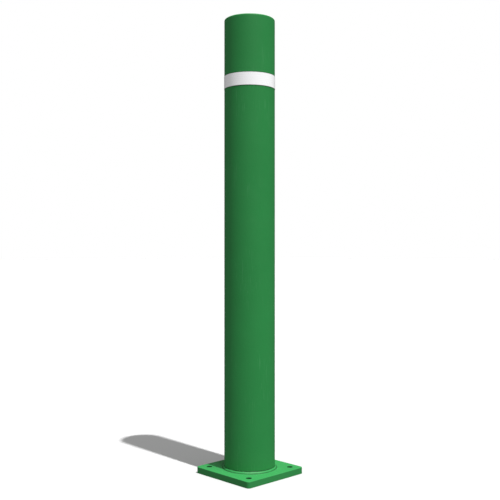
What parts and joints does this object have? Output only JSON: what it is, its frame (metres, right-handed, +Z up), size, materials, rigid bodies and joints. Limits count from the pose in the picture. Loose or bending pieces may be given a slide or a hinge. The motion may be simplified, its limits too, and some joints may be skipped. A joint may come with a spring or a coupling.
{
  "type": "steel safety bollard",
  "caption": "Round steel post with a flat welded cap and a white reflective band, standing on a square base plate with corner anchor holes.",
  "frame": {"origin": "centre of the underside of the base plate, where it rests on the floor", "axes": "+Z up along the axis of the post; the sides of the square base plate run along X and Y"},
  "size_m": [0.1524, 0.1524, 0.91],
  "materials": {
    "plate_paint": "green powder coat, satin",
    "post_paint": "green powder coat, satin",
    "weld_paint": "green powder coat over the weld bead, satin",
    "reflective_tape": "white retroreflective film, semi-gloss"
  },
  "bodies": {
    "root": {"base_plate": "plate_paint", "base_weld": "weld_paint", "post_tube": "post_paint", "reflective_band": "reflective_tape", "cap_weld": "weld_paint", "top_cap": "post_paint"}
  },
  "joints": []
}
